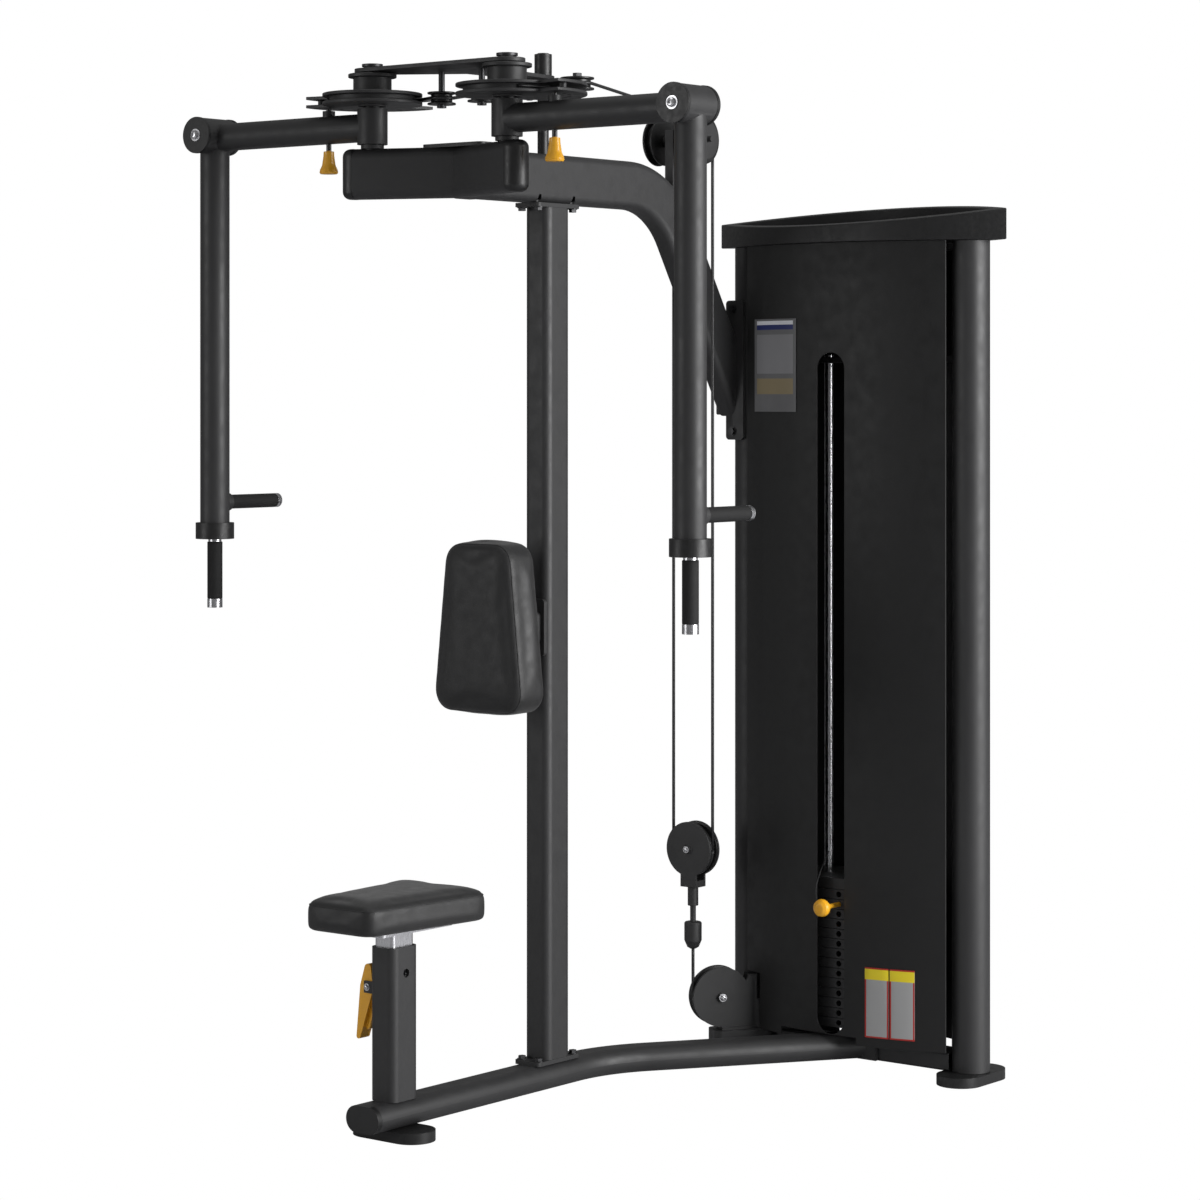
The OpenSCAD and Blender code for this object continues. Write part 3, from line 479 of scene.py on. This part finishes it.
def puff(obj, board, up):
    """Swells a cushion outwards with Cloth pressure, up to PUFF_RISE; its board side stays."""
    remesh = obj.modifiers.new("remesh", "REMESH")
    remesh.mode = "VOXEL"
    remesh.voxel_size = VOXEL
    keep_evaluated(obj)
    rest = coords(obj.data)
    outward = np.array([v.normal for v in obj.data.vertices])
    height = rest @ np.array(up) - board
    pinned = obj.vertex_groups.new(name="board")
    pinned.add([int(i) for i in np.nonzero(height < BOARD_BAND)[0]], 1.0, "REPLACE")
    cloth = obj.modifiers.new("cloth", "CLOTH")
    cloth.settings.vertex_group_mass = "board"
    cloth.settings.use_pressure = True
    cloth.settings.uniform_pressure_force = PRESSURE
    cloth.settings.effector_weights.gravity = 0
    scene = bpy.context.scene
    scene.frame_end = PUFF_FRAMES
    for frame in range(1, PUFF_FRAMES + 1):
        scene.frame_set(frame)
    swollen = coords(obj.evaluated_get(bpy.context.evaluated_depsgraph_get()).data)
    obj.modifiers.clear()
    obj.vertex_groups.clear()
    swell = np.maximum(((swollen - rest) * outward).sum(axis=1, keepdims=True), 0.0)
    swell = PUFF_RISE * np.tanh(swell / PUFF_RISE)
    obj.data.vertices.foreach_set("co", (rest + outward * swell).ravel())
    smooth = obj.modifiers.new("smooth", "SMOOTH")
    smooth.factor = 0.5
    smooth.iterations = 8
    keep_evaluated(obj)
    finer = obj.modifiers.new("subdivision", "SUBSURF")
    finer.levels = 1
    finer.render_levels = 1


def seam(name, obj, path, material):
    """A sewn seam: a fine cord laid on the cushion's surface along a path."""
    points = [v.co.copy() for v in obj.data.vertices]
    tree = BVHTree.FromPolygons(points, [p.vertices[:] for p in obj.data.polygons])
    on_skin = [tree.find_nearest(p)[0] for p in path]
    return tube(name, on_skin, SEAM_RADIUS, material, closed=True, sides=8)


def cushion(name, node, body, shape, radius, thickness, place, board, up, materials):
    """Replaces a CAD cushion by an upholstered one, with a seam round its edge."""
    skin, thread = materials
    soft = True
    inset = PUFF_INSET if soft else 0.0
    outline = rounded_outline([Vector(c) * (1 - inset / WIDEST_HALF) for c in shape], radius)
    pad = slab(name, outline, thickness - inset, place, skin)
    if soft:
        puff(pad, board, up)
    pad.data.polygons.foreach_set("use_smooth", [True] * len(pad.data.polygons))
    path = [Vector(place(p.x, p.y, thickness - SEAM_DEPTH)) for p in outline]
    for piece in (pad, seam(name + "_seam", pad, path, thread)):
        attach(piece, body)
    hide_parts(node)


def cushions(materials):
    low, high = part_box("seat_pad")
    front, rear = SEAT_WIDTHS
    shape = [(-front, low.y), (front, low.y), (rear, high.y), (-rear, high.y)]
    cushion("seat_cushion", "seat_pad", "seat", shape, 30 * MM, high.z - low.z,
            lambda u, v, w: (u, v, low.z + w), low.z, (0, 0, 1), materials)
    near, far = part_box("back_pad")
    middle = (near.z + far.z) / 2
    half = (far.z - near.z) / 2
    foot, head = BACK_WIDTHS
    shape = [(-foot, -half), (foot, -half), (head, half), (-head, half)]
    cushion("back_cushion", "back_pad", "frame", shape, 40 * MM, far.y - near.y,
            lambda u, v, w: (u, far.y - w, middle + v), -far.y, (0, -1, 0), materials)


# ---- Cables ----

def heading(step):
    return math.atan2(step.y, step.x)


def arm_cable_path(side):
    """Cable from the cam drum round the inner and rear pulleys and over the top pulley."""
    cam, inner, rear = Vector(CAM), Vector(INNER), Vector(REAR)
    to_inner, to_rear, to_top = inner - cam, rear - inner, Vector((DROP_X, DROP_Y - TOP_R)) - rear
    off_cam = heading(to_inner) - math.acos((CAM_R + INNER_R) / to_inner.length)
    off_inner = heading(to_rear) + math.acos((INNER_R + REAR_R) / to_rear.length)
    off_rear = heading(to_top) - math.acos(REAR_R / to_top.length)
    leave, swap, rise = map(math.degrees, (off_cam, off_inner, off_rear))
    path = arc((*cam, DRUM_Z), CAM_R, leave - 150, leave, 30)
    path += arc((*inner, DRUM_Z), INNER_R, leave + 180, swap, 16)
    path += arc((*rear, REAR_Z), REAR_R, swap - 180, rise, 6)
    path += arc((DROP_X, DROP_Y - TOP_R, TOP_Z), TOP_R, 90, 0, 12, "yz")
    return [Vector((side * p.x, p.y, p.z)) for p in path]


def tower_cable_path():
    """Cable from under the low pulley, along the base, up the tower and over its top pulley."""
    along = Vector((math.sin(LOW_YAW), math.cos(LOW_YAW), 0))
    up = Vector((0, 0, 1))
    start = Vector((0, DROP_Y, LOW_Z))
    run = (TOWER_Y - DROP_Y) / math.cos(LOW_YAW)
    base = start + along * (run - BASE_R) + up * (BASE_R - LOW_R)

    def wheel(centre, radius, a0, a1):
        angles = [math.radians(a0 + (a1 - a0) * i / 12) for i in range(13)]
        return [centre + radius * (math.cos(a) * along + math.sin(a) * up) for a in angles]

    path = wheel(start + along * LOW_R, LOW_R, 180, 270) + wheel(base, BASE_R, 270, 360)
    foot_x = path[-1].x
    radius = (TOWER_X - foot_x) / 2
    return path + arc((foot_x + radius, TOWER_Y, TOWER_PULLEY_Z), radius, 180, 0, 20, "xz")


def fixed_cable(name, path, jacket, node=None, body="frame"):
    """Cable that stays on one body, in place of a CAD node if one is named."""
    cable = tube(name, path, CABLE_RADIUS, jacket)
    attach(cable, body)
    if node:
        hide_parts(node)


def hung_cable(name, start, end, steps, look, node=None, x=0.0):
    """Straight cable between two points, parented to no body, in place of a CAD node if one is named."""
    side = Vector((x, 0, 0))
    cable = tube(name, line(Vector(start) + side, Vector(end) + side, steps), CABLE_RADIUS, look)
    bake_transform(cable)
    if node:
        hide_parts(node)


def cables(jacket, bright):
    for side, word in ((1, "right"), (-1, "left")):
        fixed_cable(word + "_arm_cable", arm_cable_path(side), jacket, "fixed_cables")
        hung_cable(word + "_drop_cable", (0, DROP_Y, TOP_Z), (0, DROP_Y, TROLLEY_Z), 24, jacket,
                   node="drop_cables" if side == 1 else None, x=side * DROP_X)
    wrap = arc((0, DROP_Y, TROLLEY_Z), DROP_X, 180, 360, 24, "xz")
    fixed_cable("trolley_cable_wrap", wrap, jacket, body="trolley")
    hung_cable("low_cable_run", (0, DROP_Y, LOW_Z), (0, DROP_Y, LOW_CABLE_TOP), 6, jacket,
               node="low_cable")
    fixed_cable("tower_cable", tower_cable_path(), jacket, "fixed_cables")
    foot = (TOWER_X, TOWER_Y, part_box("selector_rod")[1].z - 2 * MM)
    hung_cable("lift_rope", foot, (TOWER_X, TOWER_Y, TOWER_PULLEY_Z), 32, bright,
               "lift_cable")


# ---- Small hardware ----

def bolt(name, body, place, axis, size, material):
    """Button-head hexagon bolt: washer, domed head and a socket."""
    bm = bmesh.new()
    angles = [2 * math.pi * k / BOLT_SIDES for k in range(BOLT_SIDES)]
    rings = []
    for r, h in BOLT_PROFILE:
        around = angles if r else angles[:1]
        places = [Vector((r * math.cos(a), r * math.sin(a), h)) * size for a in around]
        rings.append([bm.verts.new(p) for p in places])
    for a, b in zip(rings, rings[1:]):
        for k in range(BOLT_SIDES):
            m = (k + 1) % BOLT_SIDES
            patch = list(dict.fromkeys([a[k % len(a)], a[m % len(a)], b[m % len(b)], b[k % len(b)]]))
            if len(patch) > 2:
                bm.faces.new(patch)
    bmesh.ops.recalc_face_normals(bm, faces=bm.faces[:])
    turn = Vector((0, 0, 1)).rotation_difference(Vector(axis))
    bmesh.ops.rotate(bm, verts=bm.verts[:], matrix=turn.to_matrix())
    bmesh.ops.translate(bm, verts=bm.verts[:], vec=place)
    obj = add_built(name, bm, material)
    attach(obj, body)


def lanyard_path():
    """Sagging line from the selector pin's ball to a hook on the stack."""
    low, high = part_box("selector_pin")
    middle = (low + high) / 2
    start = Vector((middle.x - 0.010, low.y + 0.012, middle.z + 0.008))
    hook = Vector((middle.x - 0.026, 1.008, middle.z + 0.105))
    path = []
    for i in range(25):
        sag = 0.012 * math.sin(math.pi * i / 24)
        path.append(start.lerp(hook, i / 24) - Vector((sag, 0.4 * sag, sag)))
    return path


def hardware(bright, black):
    for side, word in ((1, "right"), (-1, "left")):
        x = side * ARM_X
        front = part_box(word + "_arm_caps")[0].y
        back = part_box(word + "_grip_ends")[1].y
        bolt(word + "_elbow_bolt", word + "_arm", (x, front, ELBOW_Z), (0, -1, 0), 9 * MM, bright)
        bolt(word + "_grip_bolt", word + "_arm", (x, back, GRIP_Z), (0, 1, 0), 6 * MM, bright)
    across = Vector((math.cos(LOW_YAW), -math.sin(LOW_YAW), 0))
    hub = Vector((LOW_R * math.sin(LOW_YAW), DROP_Y + LOW_R * math.cos(LOW_YAW), LOW_Z))
    bolt("low_pulley_bolt", "frame", hub + 24.5 * MM * across, across, 6 * MM, bright)
    bolt("trolley_bolt", "trolley", (0, DROP_Y - 24 * MM, TROLLEY_Z), (0, -1, 0), 5 * MM, bright)
    bolt("lever_bolt", "frame", LEVER_BOLT, (0, -1, 0), 5 * MM, bright)
    path = lanyard_path()
    lanyard = tube("pin_lanyard", path, 1.3 * MM, black, sides=8)
    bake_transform(lanyard)


# ---- Scene ----

def area_light(name, place, target, size, power):
    """Square softbox, aimed at a target."""
    data = bpy.data.lights.new(name, "AREA")
    data.size = size
    data.energy = power
    lamp = add_object(name, data)
    lamp.location = place
    lamp.rotation_euler = (Vector(target) - Vector(place)).to_track_quat("-Z", "Y").to_euler()


def seen_as_white(tree, other):
    """Mixes a shader with white light that only the camera sees, and returns the result."""
    glow = tree.nodes.new("ShaderNodeEmission")
    ray = tree.nodes.new("ShaderNodeLightPath")
    mixed = tree.nodes.new("ShaderNodeMixShader")
    tree.links.new(ray.outputs["Is Camera Ray"], mixed.inputs[0])
    tree.links.new(other, mixed.inputs[1])
    tree.links.new(glow.outputs[0], mixed.inputs[2])
    return mixed.outputs[0]


def studio():
    world = bpy.data.worlds.new("studio")
    bpy.context.scene.world = world
    world.use_nodes = True
    tree = world.node_tree
    dim = tree.nodes["Background"]
    dim.inputs[0].default_value = (1, 1, 1, 1)
    dim.inputs[1].default_value = 0.22
    tree.links.new(seen_as_white(tree, dim.outputs[0]), tree.nodes["World Output"].inputs[0])
    bpy.context.scene.view_settings.view_transform = "Standard"
    area_light("key", (5.4, 1.4, 1.9), (0.2, 0.6, 0.9), 3.6, 400)
    area_light("fill", (-2.6, -4.4, 1.7), (0, 0.4, 0.9), 2.4, 50)
    area_light("top", (0.4, 0.2, 4.6), (0.2, 0.5, 0.5), 2.4, 30)
    floor_surface = Surface("floor", 0.9)
    tree = floor_surface.tree
    white = seen_as_white(tree, floor_surface.shader.outputs[0])
    tree.links.new(white, tree.nodes["Material Output"].inputs[0])
    floor_surface.set("Base Color", grey(0.5))
    reach = 30.0
    square = [(-reach, -reach, 0), (reach, -reach, 0), (reach, reach, 0), (-reach, reach, 0)]
    floor = add_mesh("floor", square, [(0, 1, 2, 3)], floor_surface.material, smooth=False)
    data = bpy.data.cameras.new("camera")
    data.lens = CAMERA_LENS
    data.shift_y = CAMERA_SHIFT_Y
    camera = add_object("camera", data)
    camera.location = CAMERA_PLACE
    camera.rotation_euler = (math.radians(90), 0, math.radians(CAMERA_TURN))
    bpy.context.scene.camera = camera


def corners(bounds):
    return [list(map(float, corner)) for corner in bounds]


def main():
    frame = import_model()
    finishes = {
        "frame": coat("charcoal_powder_coat", 0.024, 0.50),
        "shroud": coat("black_powder_coat", 0.0035, 0.50, grain=1.3, depth=0.08),
        "black_plastic": moulded("black_plastic", 0.009, 0.42),
        "pulley_nylon": moulded("black_nylon", 0.008, 0.38),
        "steel": steel("bright_steel", 0.66, 0.24),
        "dark_steel": steel("black_oxide_steel", 0.07, 0.42),
        "rubber": rubber("black_rubber", 0.010),
        "stack_iron": coat("stack_paint", 0.026, 0.5, grain=0.8, depth=0.16),
        "vinyl": vinyl("black_vinyl", 0.012),
        "gold_knob": gold("amber_knob"),
        "cable": rope("cable_jacket"),
        "placard": placard("blank_placards", *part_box("placards")),
    }
    thread = moulded("seam_thread", 0.018, 0.6)
    slots = {part["node"]: part["material_slot"] for part in frame["record"]["subparts"]}
    pin_knob = gold("amber_pin_knob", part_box("right_pop_pin")[0].z + 44.5 * MM)
    for name, obj in frame["nodes"].items():
        slot = slots[name]
        look = pin_knob if name.endswith("pop_pin") else finishes[slot]
        finish_node(obj, look, EASING.get(slot, 0) * MM)
    cushions((finishes["vinyl"], thread))
    cables(finishes["cable"], finishes["steel"])
    hardware(finishes["steel"], finishes["cable"])
    studio()


main()
